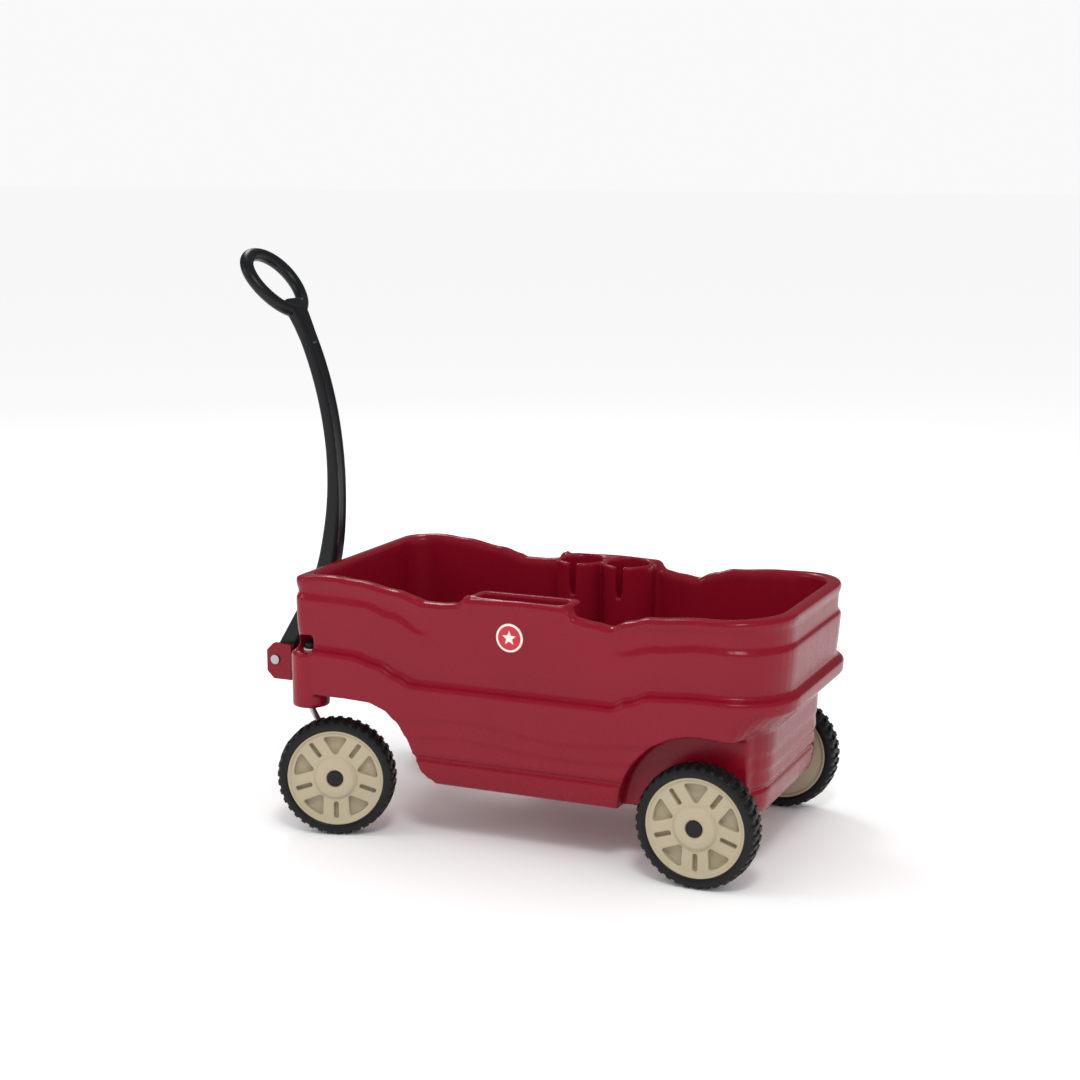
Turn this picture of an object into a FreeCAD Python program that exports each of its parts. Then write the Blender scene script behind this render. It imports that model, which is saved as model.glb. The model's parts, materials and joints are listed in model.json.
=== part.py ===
import FreeCAD, Part
import os
import math
import re
import Sketcher
from FreeCAD import Vector, Placement, Rotation

# Child's pull wagon: a moulded tub on two fixed rear wheels and two swivelling front casters, with
# a bowed pull handle hinged in a bracket on the nose. The tub and the wheels are drawn solid.
# +X points forward, +Y to the wagon's left and +Z up. Every piece is drawn from the middle of the
# wheelbase on the floor, and its Placement then moves it back by origin_ahead.

DIMENSIONS = [
    ("origin_ahead", 84, "the row's origin, ahead of the middle of the wheelbase"),
    ("wheelbase", 670, "rear axle to front wheel centre, casters trailing straight"),
    ("wheel_track", 467, "middle of one rear tyre to the other"),
    ("wheel_radius", 105, "outside of the tyre"),
    ("tyre_width", 47, "across the tread"),
    ("tyre_shoulder", 6, "rounding of the tyre's shoulders"),
    ("disc_radius", 86.3, "tyre seat of the wheel disc"),
    ("disc_width", 40, "rim of the wheel disc"),
    ("disc_dish", 4, "how far the disc's web lies inside its rim"),
    ("disc_lip", 5, "width of the rim ring on the disc's face"),
    ("hub_radius", 33, "foot of the raised hub boss"),
    ("hub_nose_radius", 20, "face of the raised hub boss"),
    ("hub_face", 24, "hub boss face from the wheel's middle"),
    ("hub_back", 26, "hub boss back from the wheel's middle"),
    ("cap_radius", 14, "press-on hub cap"),
    ("cap_depth", 12, "hub cap's pocket depth"),
    ("window_radius", 73, "outer edge of the wheel's recessed windows"),
    ("window_root", 40, "inner point of a window"),
    ("window_half", 17, "half the outer width of a window"),
    ("window_depth", 9, "depth of the windows"),
    ("slot_near", 46, "inner end of a spoke's slot"),
    ("slot_far", 76, "outer end of a spoke's slot"),
    ("slot_width", 6, "width of a spoke's slot"),
    ("spokes", 5, "spokes in a wheel"),
    ("axle_radius", 5.5, "steel axle and caster rod"),
    ("running_gap", 0.1, "radial clearance of a turning fit"),
    ("side_gap", 0.4, "end clearance between turning faces"),
    ("bush_wall", 2.5, "wall of the nylon bushes"),
    ("washer_radius", 10, "washers and spacers on the axles"),
    ("washer_thick", 1.5, "push-on washer at an axle's end"),
    ("spacer_length", 5, "spacer behind a caster wheel"),
    ("axle_end", 4, "axle beyond the hub's face"),
    ("flange_radius", 13, "bush flange"),
    ("flange_thick", 3, "bush flange thickness"),
    ("bush_length", 20, "bush barrel inside its seat"),
    ("rear_end", 472, "band's rear face, behind the middle"),
    ("front_end", 434, "band's front face, ahead of the middle"),
    ("band_half", 236, "half width over the lower band"),
    ("band_step", 10, "ledge on top of the band"),
    ("band_top", 320, "height of the ledge"),
    ("rear_corner", 85, "rear corner radius in plan"),
    ("front_corner", 30, "front corner radius in plan"),
    ("floor_under", 108, "underside of the tub"),
    ("belly_front", 181, "front end of the deep belly"),
    ("belly_front_rise", 128, "top of the belly's upright front"),
    ("arch_knee", 250, "knee of the front underside"),
    ("arch_knee_rise", 232, "height of that knee"),
    ("arch_flat", 330, "where the front underside runs flat"),
    ("front_under", 246, "underside above the casters"),
    ("well_radius", 147, "rear wheel arch"),
    ("well_half", 190, "half width of the tub between the rear wheels"),
    ("tail_foot", 425, "lower end of the tail"),
    ("tail_head", 440, "upper end of the tail"),
    ("axle_housing", 22, "radius of the moulded axle housing"),
    ("rim_rear", 449, "rim height over the rear seat"),
    ("rim_front", 459, "rim height over the front seat"),
    ("rim_low", 429, "height of the two low hand rests"),
    ("rim_middle", 447, "height of the tray and cup holders"),
    ("rim_ramp", 9, "length of each step in the rim"),
    ("low_front_far", 186, "front hand rest, front end"),
    ("low_front_near", 108, "front hand rest, rear end"),
    ("low_rear_near", 101, "rear hand rest, front end"),
    ("low_rear_far", 178, "rear hand rest, rear end"),
    ("rim_width", 24, "double wall at the rim"),
    ("seat_height", 276, "seats"),
    ("well_front", 112, "footwell, front end"),
    ("well_rear", 122, "footwell, rear end"),
    ("well_side", 186, "half width of the footwell"),
    ("well_floor", 128, "footwell floor"),
    ("cavity_rear", 52, "rear corner radius inside the tub"),
    ("cavity_front", 40, "front corner radius inside the tub"),
    ("pod_front", 90, "cup and tray blocks, front end"),
    ("pod_rear", 96, "cup and tray blocks, rear end"),
    ("block_foot", 5, "how far the blocks are rooted in the footwell's floor"),
    ("cup_block_in", 126, "inner face of the cup block from the middle"),
    ("cup_radius", 39, "cup holder"),
    ("cup_depth", 100, "cup holder depth"),
    ("cup_pitch", 92, "between the cup holders"),
    ("cup_line", 174, "cup holder centres from the middle"),
    ("cup_slot_width", 14, "slot in front of each cup"),
    ("cup_slot_depth", 62, "slot depth below the rim"),
    ("tray_block_in", 160, "inner face of the tray block"),
    ("tray_near", 176, "tray pocket, inner side"),
    ("tray_far", 214, "tray pocket, outer side"),
    ("tray_depth", 62, "tray pocket depth"),
    ("tray_wall", 14, "wall at each end of the tray pocket"),
    ("kingpin_x", 409, "caster kingpin ahead of the middle"),
    ("kingpin_y", 203, "caster kingpin from the centre line"),
    ("boss_radius", 32.5, "caster boss"),
    ("boss_bottom", 222, "foot of the caster boss"),
    ("scoop_radius", 19, "niche for the cap nut above the boss"),
    ("scoop_height", 52, "height of that niche"),
    ("caster_trail", 54, "wheel centre behind the kingpin"),
    ("caster_side", 52, "wheel's middle outboard of the kingpin"),
    ("left_angle", 18, "how far the left caster is turned at rest"),
    ("right_angle", 6, "how far the right caster is turned at rest"),
    ("rod_shoulder", 12, "straight rod below the boss"),
    ("rod_bend", 14, "bend radius of the caster rod"),
    ("collar_radius", 10.5, "kingpin collar"),
    ("collar_height", 5, "kingpin collar"),
    ("lug_length", 20, "stop lug of the collar, from the kingpin's axis"),
    ("cap_nut_radius", 11, "kingpin cap nut"),
    ("cap_nut_height", 13, "kingpin cap nut"),
    ("nose_end", 556, "front face of the nose"),
    ("nose_root_half", 105, "half width of the nose at the tub"),
    ("nose_tip_half", 34, "half width of the nose at its tip"),
    ("nose_under", 222, "underside of the nose's shelf"),
    ("nose_top", 252, "top of the nose"),
    ("keel_half", 22, "half width of the nose's keel"),
    ("keel_under", 178, "underside of the keel"),
    ("keel_chamfer", 26, "slope under the keel's tip"),
    ("ear_gap", 19.5, "inner face of each bracket ear from the middle"),
    ("ear_thick", 10, "bracket ear"),
    ("ear_end", 609, "front end of the bracket ears"),
    ("ear_chamfer", 14, "corners of the bracket ears"),
    ("bracket_web", 5, "bracket's web against the nose"),
    ("bracket_under", 205, "underside of the bracket"),
    ("bracket_top", 274, "top of the bracket ears"),
    ("tongue_back", 518, "rear end of the bracket's tongue"),
    ("tongue_thick", 6, "bracket tongue on top of the nose"),
    ("hitch_bolt_x", 534, "hitch bolt ahead of the middle"),
    ("hitch_bolt_radius", 4, "hitch bolt shank"),
    ("hitch_bolt_depth", 40, "hitch bolt in the nose"),
    ("hitch_head_radius", 7.5, "hitch bolt head"),
    ("hitch_head_height", 5, "hitch bolt head"),
    ("hinge_x", 590, "handle hinge ahead of the middle"),
    ("hinge_z", 243, "handle hinge"),
    ("pin_radius", 5, "handle hinge pin"),
    ("pin_head_radius", 9, "head of the hinge pin"),
    ("pin_head_height", 3.5, "head of the hinge pin"),
    ("knuckle_radius", 17, "foot of the handle"),
    ("handle_width", 38, "handle across the wagon"),
    ("handle_foot", 30, "handle fore and aft at the foot"),
    ("handle_waist", 34, "handle fore and aft where the bow starts"),
    ("handle_neck", 21, "handle fore and aft at the neck"),
    ("handle_round", 6, "rounding of the handle's edges"),
    ("bow_back", 466.5, "rearmost point of the handle's middle line"),
    ("bow_rise", 590, "height of that point"),
    ("bow_radius", 682, "upper bow of the handle"),
    ("bow_join", 452, "height where the tighter lower bend starts"),
    ("bend_radius", 260, "bend between the bow and the straight shank"),
    ("neck_height", 900, "height of the handle's neck"),
    ("grip_radius", 66, "grip loop, middle of the rod"),
    ("grip_tube", 11.5, "grip loop's rod radius"),
    ("grip_lean", 41, "lean of the grip loop, forward of upright"),
    ("badge_radius", 25, "round badge"),
    ("badge_thick", 1.6, "round badge"),
    ("badge_height", 385, "badge centre"),
    ("badge_ahead", 9, "badge centre ahead of the middle"),
    ("overcut", 60, "how far a cutting shape runs past the solid"),
]
UP = Vector(0, 0, 1)
TO_LEFT = Rotation(Vector(1, 0, 0), -90)  # turns a piece's own +Z to the wagon's +Y
TO_RIGHT = Rotation(Vector(1, 0, 0), 90)

doc = FreeCAD.newDocument("pull_wagon")
parts = []


def make_sheet():
    """Writes the driving dimensions into the sheet, one aliased cell each, and reads them back."""
    sheet = doc.addObject("Spreadsheet::Sheet", "dims")
    for row, (name, value, note) in enumerate(DIMENSIONS, 1):
        sheet.set(f"A{row}", name)
        sheet.set(f"B{row}", str(value))
        sheet.set(f"C{row}", note)
        sheet.setAlias(f"B{row}", name)
    doc.recompute()
    return {name: float(sheet.get(name)) for name, _, _ in DIMENSIONS}


D = make_sheet()


def cells(text):
    """Turns dimension names in an expression into references to the sheet."""
    return re.sub(r"[a-z][a-z_]+", lambda m: "dims." * (m.group(0) in D) + m.group(0), text)


def bind(thing, **sizes):
    for prop, text in sizes.items():
        thing.setExpression(prop, cells(text))
    return thing


def body(name):
    return doc.addObject("PartDesign::Body", name)


def spot(x, y, z, turn=None):
    """A placement measured from the middle of the wheelbase."""
    return Placement(Vector(x, y, z), turn or Rotation())


def keep(thing, name, place=None):
    """Names a finished sub-part and puts it in its place in the row's frame."""
    thing.Label = name
    thing.Placement = spot(-D["origin_ahead"], 0, 0).multiply(place or Placement())
    parts.append(thing)
    return thing


def plane(owner, role):
    return [o for o in owner.Origin.OriginFeatures if o.Role == role][0]


def sketch(owner, name, role="XY_Plane", level="0"):
    """A sketch on an origin plane of its body, moved along the plane's normal by level."""
    made = owner.newObject("Sketcher::SketchObject", name)
    made.AttachmentSupport = [(plane(owner, role), "")]
    made.MapMode = "FlatFace"
    made.setExpression("AttachmentOffset.Base.z", cells(level))
    return made


def fix_one(made, kind, edge, end, text):
    """Holds one point of an edge at a distance from the sketch's origin."""
    point = made.getPoint(edge, end)
    here = point.x if kind == "DistanceX" else point.y
    index = made.addConstraint(Sketcher.Constraint(kind, -1, 1, edge, end, here))
    made.setExpression(f"Constraints[{index}]", cells(text))


def fix_point(made, edge, end, across, up):
    fix_one(made, "DistanceX", edge, end, across)
    fix_one(made, "DistanceY", edge, end, up)


def polygon(made, corners):
    """A closed outline through corners given as pairs of expressions."""
    count, first = len(corners), made.GeometryCount
    ring = [Rotation(UP, 360 * i / count).multVec(Vector(100, 0, 0)) for i in range(count)]
    made.addGeometry([Part.LineSegment(ring[i], ring[(i + 1) % count]) for i in range(count)], False)
    for i in range(count):
        made.addConstraint(Sketcher.Constraint("Coincident", first + i, 2, first + (i + 1) % count, 1))
    for i, (across, up) in enumerate(corners):
        fix_point(made, first + i, 1, across, up)
    return made


def rectangle(made, x0, y0, x1, y1):
    return polygon(made, [(x0, y0), (x1, y0), (x1, y1), (x0, y1)])


def rounded_plan(made, x0, y0, x1, y1, rear, front):
    """A rectangle with corners of radius rear at x0 and of radius front at x1."""
    guess_x, guess_y, guess_radius = 390, 170, 40
    quarters = [(x0, y0, rear), (x1, y0, front), (x1, y1, front), (x0, y1, rear)]
    arcs = []
    for i, (x, y, radius) in enumerate(quarters):
        right, upper = i in (1, 2), i in (2, 3)
        middle = Vector(guess_x if right else -guess_x, guess_y if upper else -guess_y, 0)
        start = math.pi + i * math.pi / 2
        shape = Part.ArcOfCircle(Part.Circle(middle, UP, guess_radius), start, start + math.pi / 2)
        arcs.append((made.addGeometry(shape, False), shape))
        across = f"({x}) {'-' if right else '+'} ({radius})"
        up = f"({y}) {'-' if upper else '+'} ({radius})"
        fix_point(made, arcs[-1][0], 3, across, up)
        level, plumb = (1, 2) if i in (0, 2) else (2, 1)
        fix_one(made, "DistanceY", arcs[-1][0], level, up)
        fix_one(made, "DistanceX", arcs[-1][0], plumb, across)
        size = made.addConstraint(Sketcher.Constraint("Radius", arcs[-1][0], guess_radius))
        made.setExpression(f"Constraints[{size}]", cells(radius))
    for (arc, shape), (following, ahead) in zip(arcs, arcs[1:] + arcs[:1]):
        line = made.addGeometry(Part.LineSegment(shape.EndPoint, ahead.StartPoint), False)
        made.addConstraint(Sketcher.Constraint("Coincident", line, 1, arc, 2))
        made.addConstraint(Sketcher.Constraint("Coincident", line, 2, following, 1))
    return made


def circle(made, x, y, radius):
    index = made.addGeometry(Part.Circle(Vector(0, 0, 0), UP, 10), False)
    fix_point(made, index, 3, x, y)
    size = made.addConstraint(Sketcher.Constraint("Radius", index, 10))
    made.setExpression(f"Constraints[{size}]", cells(radius))
    return made


def pad(owner, profile, length, symmetric=False):
    made = owner.newObject("PartDesign::Pad", "Pad")
    made.Profile = profile
    made.SideType = "Symmetric" if symmetric else "One side"
    return bind(made, Length=length)


def pocket(owner, profile, length="overcut * 20", symmetric=False, flip=False):
    """Cuts against the profile's normal, or along it with flip."""
    before = owner.Tip
    made = owner.newObject("PartDesign::Pocket", "Pocket")
    made.Profile = profile
    made.SideType = "Symmetric" if symmetric else "One side"
    made.Reversed = flip
    bind(made, Length=length)
    doc.recompute()
    if not made.Shape.Volume < before.Shape.Volume - 1:
        raise RuntimeError(f"{profile.Label} cuts nothing")
    return made


def revolve(owner, profile):
    """Turns a profile drawn on XZ about the body's own Z axis."""
    made = owner.newObject("PartDesign::Revolution", "Revolution")
    made.Profile = profile
    made.ReferenceAxis = (profile, ["V_Axis"])
    made.Angle = 360
    return made


def upright(edge):
    return isinstance(edge.Curve, Part.Line) and abs(abs(edge.tangentAt(edge.FirstParameter).z) - 1) < 1e-6


# ---- the tub: one hollow moulding ----


def tub_shell():
    tub = body("TubBody")
    band = sketch(tub, "BandPlan", level="floor_under")
    rounded_plan(band, "-rear_end", "-band_half", "front_end", "band_half", "rear_corner", "front_corner")
    pad(tub, band, "band_top - floor_under")
    upper = sketch(tub, "UpperPlan", level="band_top")
    inset(upper, "band_step", "rear_corner - band_step", "front_corner - band_step")
    pad(tub, upper, "rim_front - band_top")
    cut_rim(tub)
    cut_underside(tub)
    add_bosses_and_nose(tub)
    cut_inside(tub)
    add_blocks(tub)
    drill_tub(tub)
    return tub


def inset(made, step, rear, front):
    """The tub's plan drawn smaller by step on every side."""
    side = f"band_half - ({step})"
    ends = f"-(rear_end - ({step}))", f"front_end - ({step})"
    return rounded_plan(made, ends[0], f"-({side})", ends[1], side, rear, front)


def cut_rim(tub):
    """The rim's height steps down to a hand rest on each side of the tray and the cup holders."""
    top = "rim_front + overcut"
    corners = [
        ("front_end + overcut", "rim_front"),
        ("low_front_far + rim_ramp * 6", "rim_front"),
        ("low_front_far", "rim_low + rim_ramp"),
        ("low_front_far", "rim_low"),
        ("low_front_near", "rim_low"),
        ("low_front_near - rim_ramp", "rim_middle"),
        ("-low_rear_near", "rim_middle"),
        ("-low_rear_near", "rim_low"),
        ("-low_rear_far", "rim_low - rim_ramp"),
        ("-low_rear_far - rim_ramp", "rim_low + 1"),
        ("-low_rear_far - rim_ramp * 9", "rim_rear - 2"),
        ("-rear_end - overcut", "rim_rear"),
        ("-rear_end - overcut", top),
        ("front_end + overcut", top),
    ]
    pocket(tub, polygon(sketch(tub, "RimLine", "XZ_Plane"), corners), symmetric=True)


def cut_underside(tub):
    front = [
        ("belly_front", "-overcut"),
        ("belly_front", "belly_front_rise"),
        ("arch_knee", "arch_knee_rise"),
        ("arch_flat", "front_under"),
        ("front_end + overcut", "front_under"),
        ("front_end + overcut", "-overcut"),
    ]
    pocket(tub, polygon(sketch(tub, "FrontUnderside", "XZ_Plane"), front), symmetric=True)
    well_top = "wheel_radius + well_radius"
    tail = [
        ("-tail_foot", "floor_under - overcut"),
        ("-tail_foot", "floor_under"),
        ("-tail_head", well_top),
        ("-rear_end - overcut", well_top),
        ("-rear_end - overcut", "floor_under - overcut"),
    ]
    pocket(tub, polygon(sketch(tub, "Tail", "XZ_Plane"), tail), symmetric=True)
    for side, level in (("Left", "-well_half"), ("Right", "well_half")):
        flip = side == "Right"
        arch = sketch(tub, side + "Arch", "XZ_Plane", level)
        circle(arch, "-wheelbase / 2", "wheel_radius", "well_radius")
        pocket(tub, arch, flip=flip)
        behind = sketch(tub, side + "BehindArch", "XZ_Plane", level)
        rectangle(behind, "-rear_end - overcut", "-overcut", "-wheelbase / 2", well_top)
        pocket(tub, behind, flip=flip)


def cut_inside(tub):
    cabin = sketch(tub, "CabinPlan", level="rim_front")
    inset(cabin, "band_step + rim_width", "cavity_rear", "cavity_front")
    pocket(tub, cabin, "rim_front - seat_height")
    footwell = sketch(tub, "FootwellPlan", level="seat_height")
    rectangle(footwell, "-well_rear", "-well_side", "well_front", "well_side")
    pocket(tub, footwell, "seat_height - well_floor")


def add_blocks(tub):
    """The cup block on the right and the tray block on the left stand up from the footwell's floor."""
    wall = "band_half - band_step - rim_width / 2"
    plan = sketch(tub, "CupAndTrayBlocks", level="well_floor - block_foot")
    rectangle(plan, "-pod_rear", f"-({wall})", "pod_front", "-cup_block_in")
    rectangle(plan, "-pod_rear", "tray_block_in", "pod_front", wall)
    pad(tub, plan, "rim_middle - well_floor + block_foot")
    middle = "(pod_front - pod_rear) / 2"
    for end in ("+", "-"):
        centre = f"{middle} {end} cup_pitch / 2"
        cup = circle(sketch(tub, "Cup", level="rim_middle"), centre, "-cup_line", "cup_radius")
        pocket(tub, cup, "cup_depth")
        slot = sketch(tub, "CupSlot", level="rim_middle")
        sides = f"{centre} - cup_slot_width / 2", f"{centre} + cup_slot_width / 2"
        rectangle(slot, sides[0], "-cup_line", sides[1], "-cup_block_in + overcut / 2")
        pocket(tub, slot, "cup_slot_depth")
    tray = sketch(tub, "Tray", level="rim_middle")
    rectangle(tray, "-pod_rear + tray_wall", "tray_near", "pod_front - tray_wall", "tray_far")
    pocket(tub, tray, "tray_depth")


def add_bosses_and_nose(tub):
    for side in ("", "-"):
        kingpin = "kingpin_x", f"{side}kingpin_y"
        boss = circle(sketch(tub, "CasterBoss", level="boss_bottom"), *kingpin, "boss_radius")
        pad(tub, boss, "band_top - boss_bottom")
        scoop = circle(sketch(tub, "CapNiche", level="band_top"), *kingpin, "scoop_radius")
        pocket(tub, scoop, "scoop_height", flip=True)
    shelf = sketch(tub, "NoseShelf", level="nose_under")
    root = "front_end - rim_width"
    plan = [
        (root, "-nose_root_half"),
        ("nose_end", "-nose_tip_half"),
        ("nose_end", "nose_tip_half"),
        (root, "nose_root_half"),
    ]
    polygon(shelf, plan)
    pad(tub, shelf, "nose_top - nose_under")
    keel = [
        (root, "keel_under"),
        ("nose_end - keel_chamfer", "keel_under"),
        ("nose_end", "keel_under + keel_chamfer"),
        ("nose_end", "nose_top"),
        (root, "nose_top"),
    ]
    pad(tub, polygon(sketch(tub, "Keel", "XZ_Plane"), keel), "keel_half * 2", symmetric=True)
    housing = circle(sketch(tub, "AxleHousing", "XZ_Plane"), "-wheelbase / 2", "wheel_radius", "axle_housing")
    pad(tub, housing, "well_half * 2", symmetric=True)


def drill_tub(tub):
    seat = "axle_radius + running_gap + bush_wall"
    for side in ("", "-"):
        bore = circle(sketch(tub, "KingpinBore", level="band_top"), "kingpin_x", f"{side}kingpin_y", seat)
        pocket(tub, bore, "band_top - boss_bottom")
    axle = circle(sketch(tub, "AxleBore", "XZ_Plane"), "-wheelbase / 2", "wheel_radius", seat)
    pocket(tub, axle, symmetric=True)
    bolt = circle(sketch(tub, "HitchBore", level="nose_top"), "hitch_bolt_x", "0", "hitch_bolt_radius")
    pocket(tub, bolt, "hitch_bolt_depth")


def bracket():
    """A clevis on the nose: two ears ahead of a web, and a tongue bolted down on top."""
    made = body("BracketBody")
    side = "ear_gap + ear_thick"
    ears = [
        ("nose_end", "bracket_under"),
        ("ear_end - ear_chamfer", "bracket_under"),
        ("ear_end", "bracket_under + ear_chamfer"),
        ("ear_end", "bracket_top - ear_chamfer"),
        ("ear_end - ear_chamfer", "bracket_top"),
        ("nose_end", "bracket_top"),
    ]
    pad(made, polygon(sketch(made, "Ears", "XZ_Plane"), ears), f"({side}) * 2", symmetric=True)
    gap = sketch(made, "HandleGap", level="bracket_top + overcut")
    rectangle(gap, "nose_end + bracket_web", "-ear_gap", "ear_end + overcut", "ear_gap")
    pocket(made, gap)
    notch = sketch(made, "HandleNotch", level="bracket_top + overcut")
    rectangle(notch, "nose_end - overcut", "-ear_gap", "ear_end + overcut", "ear_gap")
    pocket(made, notch, "bracket_top + overcut - nose_top - tongue_thick")
    tongue = sketch(made, "Tongue", level="nose_top")
    rectangle(tongue, "tongue_back", f"-({side})", "nose_end + bracket_web", side)
    pad(made, tongue, "tongue_thick")
    pin_hole = circle(sketch(made, "PinHole", "XZ_Plane"), "hinge_x", "hinge_z", "pin_radius")
    pocket(made, pin_hole, symmetric=True)
    bolt_hole = sketch(made, "BoltHole", level="nose_top + overcut")
    circle(bolt_hole, "hitch_bolt_x", "0", "hitch_bolt_radius")
    pocket(made, bolt_hole, "overcut * 1.5")
    return made


def turned(name, outline):
    """A body turned about its own Z axis from a half section of (radius, height) expressions."""
    made = body(name)
    revolve(made, polygon(sketch(made, name + "Section", "XZ_Plane"), outline))
    return made


def headed_pin(name, radius, length, head_radius, head_height):
    """A pin that hangs down its own -Z from a head that stands on the origin."""
    outline = [
        ("0", f"-({length})"),
        (radius, f"-({length})"),
        (radius, "0"),
        (head_radius, "0"),
        (head_radius, head_height),
        ("0", head_height),
    ]
    return turned(name, outline)


def ring(name, bore, radius, low, high):
    return turned(name, [(bore, low), (radius, low), (radius, high), (bore, high)])


def bush(name):
    """A flanged bush, its barrel down its own -Z from the flange."""
    bore = "axle_radius + running_gap"
    barrel = "axle_radius + running_gap + bush_wall"
    outline = [
        (bore, "-bush_length"),
        (barrel, "-bush_length"),
        (barrel, "0"),
        ("flange_radius", "0"),
        ("flange_radius", "flange_thick"),
        (bore, "flange_thick"),
    ]
    return turned(name, outline)


def wheel(name):
    """A wheel disc turned about its own Z, its outer face up, with recessed windows and slots."""
    bore = "axle_radius + running_gap"
    face = "disc_width / 2 - disc_dish"
    lip = "disc_radius - disc_lip"
    outline = [
        (bore, "-hub_back"),
        ("hub_nose_radius", "-hub_back"),
        ("hub_nose_radius", f"-({face})"),
        (lip, f"-({face})"),
        (lip, "-disc_width / 2"),
        ("disc_radius", "-disc_width / 2"),
        ("disc_radius", "disc_width / 2"),
        (lip, "disc_width / 2"),
        (lip, face),
        ("hub_radius", face),
        ("hub_nose_radius", "hub_face"),
        ("cap_radius", "hub_face"),
        ("cap_radius", "hub_face - cap_depth"),
        (bore, "hub_face - cap_depth"),
    ]
    made = turned(name, outline)
    window = sketch(made, "Window", level=face)
    outer = ("window_radius", "-window_half"), ("window_radius", "window_half")
    polygon(window, [("window_root", "0"), *outer])
    triangle = pocket(made, window, "window_depth")
    slot = sketch(made, "Slot", level=face)
    slot.AttachmentOffset = Placement(slot.AttachmentOffset.Base, Rotation(UP, 180 / D["spokes"]))
    rectangle(slot, "slot_near", "-slot_width / 2", "slot_far", "slot_width / 2")
    narrow = pocket(made, slot, "window_depth")
    around = made.newObject("PartDesign::PolarPattern", "Around")
    around.Originals = [triangle, narrow]
    around.Axis = (plane(made, "Z_Axis"), [""])
    around.Angle = 360
    bind(around, Occurrences="spokes")
    made.Tip = around
    return made


def tyre(name):
    shoulder = "wheel_radius - tyre_shoulder"
    outline = [
        ("disc_radius", "-tyre_width / 2"),
        (shoulder, "-tyre_width / 2"),
        ("wheel_radius", "-tyre_width / 2 + tyre_shoulder"),
        ("wheel_radius", "tyre_width / 2 - tyre_shoulder"),
        (shoulder, "tyre_width / 2"),
        ("disc_radius", "tyre_width / 2"),
    ]
    return turned(name, outline)


def bent_path(points, radius):
    """Straight runs through the points, joined by tangent arcs of one radius."""
    edges, start = [], points[0]
    for before, corner, after in zip(points, points[1:], points[2:]):
        into = (corner - before).normalize()
        out = (after - corner).normalize()
        reach = radius * math.tan(into.getAngle(out) / 2)
        first, last = corner - into * reach, corner + out * reach
        inward = (out - into).normalize()
        middle = corner + inward * (radius / math.cos(into.getAngle(out) / 2) - radius)
        edges += [Part.LineSegment(start, first).toShape(), Part.Arc(first, middle, last).toShape()]
        start = last
    edges.append(Part.LineSegment(start, points[-1]).toShape())
    return Part.Wire(edges)


def swept(path, sections):
    """A solid through closed section wires that stand on the path."""
    shell = Part.BRepOffsetAPI.MakePipeShell(path)
    shell.setFrenetMode(False)
    for section in sections:
        shell.add(section)
    shell.build()
    shell.makeSolid()
    return shell.shape()


def caster_rod(name, side):
    """The bent rod of a caster about its kingpin: side is +1 on the left and -1 on the right."""
    top = D["band_top"] + D["flange_thick"] + D["side_gap"] + D["cap_nut_height"] * 0.75
    end = D["caster_side"] + D["hub_face"] - D["cap_depth"] + D["axle_end"]
    points = [
        Vector(0, 0, top),
        Vector(0, 0, D["boss_bottom"] - D["rod_shoulder"]),
        Vector(-D["caster_trail"], 0, D["wheel_radius"]),
        Vector(-D["caster_trail"], side * end, D["wheel_radius"]),
    ]
    section = Part.Wire(Part.makeCircle(D["axle_radius"], points[0], Vector(0, 0, -1)))
    rod = doc.addObject("Part::Feature", name)
    rod.Shape = swept(bent_path(points, D["rod_bend"]), [section])
    return rod


def collar(name):
    """The kingpin's collar below the lower bush, with a stop lug at its front."""
    made = ring(name, "axle_radius", "collar_radius", "0", "collar_height")
    lug = sketch(made, "Lug")
    rectangle(lug, "axle_radius + 1", "-axle_radius", "lug_length", "axle_radius")
    pad(made, lug, "collar_height")
    return made


def cap_nut(name):
    """A domed nut over a rod's end, from its own origin up."""
    hollow = "cap_nut_height * 0.75"
    outline = [
        ("axle_radius", "0"),
        ("cap_nut_radius", "0"),
        ("cap_nut_radius", hollow),
        ("cap_nut_radius * 0.6", "cap_nut_height"),
        ("0", "cap_nut_height"),
        ("0", hollow),
        ("axle_radius", hollow),
    ]
    return turned(name, outline)


def handle_section(centre, along, depth):
    """The handle's rounded oblong section across its path."""
    width = D["handle_width"]
    plate = Part.makeBox(depth, width, 1, Vector(-depth / 2, -width / 2, 0))
    rounded = plate.makeFillet(D["handle_round"], [e for e in plate.Edges if upright(e)])
    outline = min(rounded.Faces, key=lambda f: f.CenterOfMass.z).OuterWire
    turn = Rotation(Vector(0, 1, 0), math.degrees(math.atan2(along.x, along.z)))
    return outline.transformed(Placement(centre, turn).toMatrix())


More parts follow.
